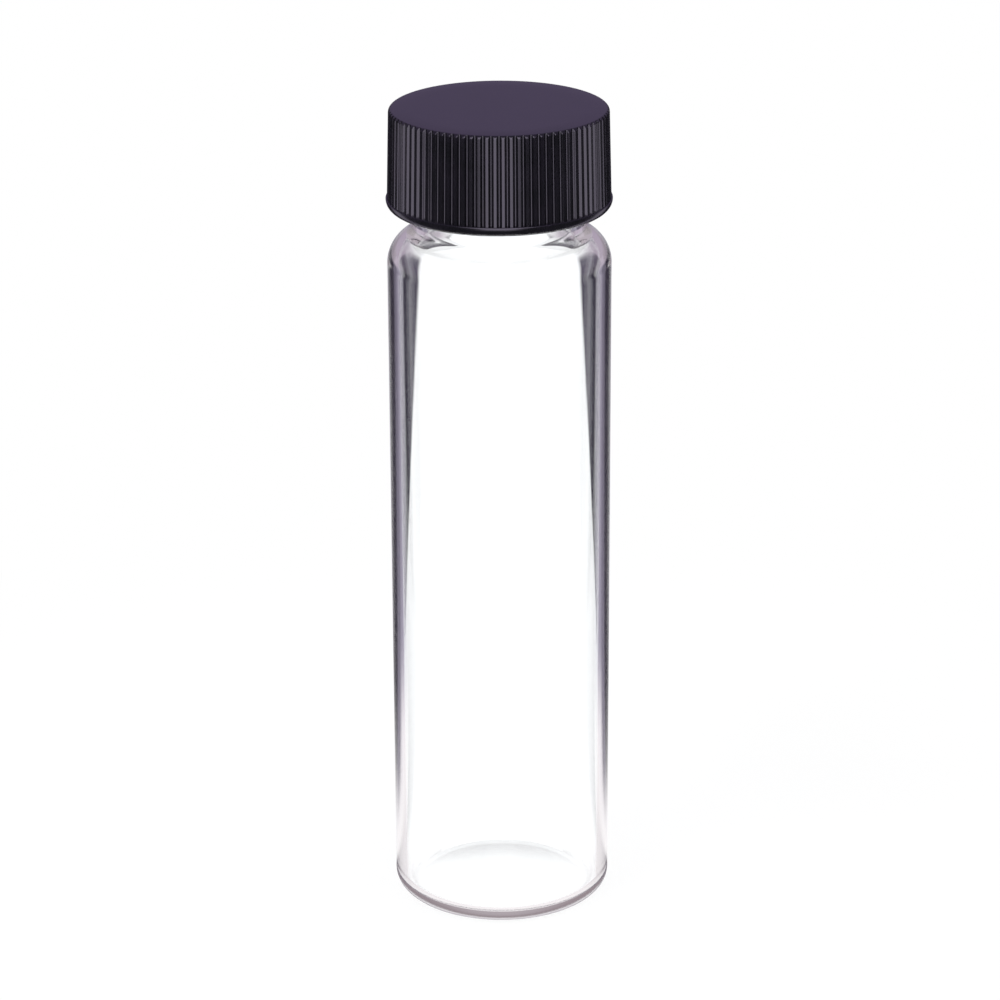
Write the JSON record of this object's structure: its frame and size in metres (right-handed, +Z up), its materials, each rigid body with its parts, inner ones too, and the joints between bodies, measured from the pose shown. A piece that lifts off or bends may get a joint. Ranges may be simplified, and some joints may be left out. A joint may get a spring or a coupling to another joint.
{
  "type": "glass sample vial",
  "caption": "Clear tubular glass sample vial with a rounded shoulder and threaded neck, closed by a finely fluted black screw cap with a soft liner.",
  "frame": {"origin": "centre of the vial's foot, on the surface that it stands on", "axes": "+Z up along the axis of the vial, from the foot to the cap; X and Y are alike, and the glass thread starts near +X"},
  "size_m": [0.0252, 0.0252, 0.094],
  "materials": {
    "clear_glass": "polished, clear and colourless",
    "black_plastic": "satin to glossy moulded black",
    "liner": "soft matt off-white"
  },
  "bodies": {
    "vial": {"glass_vial": "clear_glass"},
    "liner": {"cap_liner": "liner"},
    "cap": {"screw_cap": "black_plastic"}
  },
  "joints": [
    {"name": "cap_rise", "type": "slide", "parent": "vial", "child": "liner", "axis": [0, 0, 1], "range_m": [0, 0.0143]},
    {"name": "cap_turn", "type": "hinge", "parent": "liner", "child": "cap", "pos_m": [0, 0, 0.09255], "axis": [0, 0, 1], "range_deg": [0, 1620]}
  ],
  "couplings": [
    {"joint": "cap_rise", "follows": "cap_turn", "m_per_rad": 0.00050532}
  ]
}
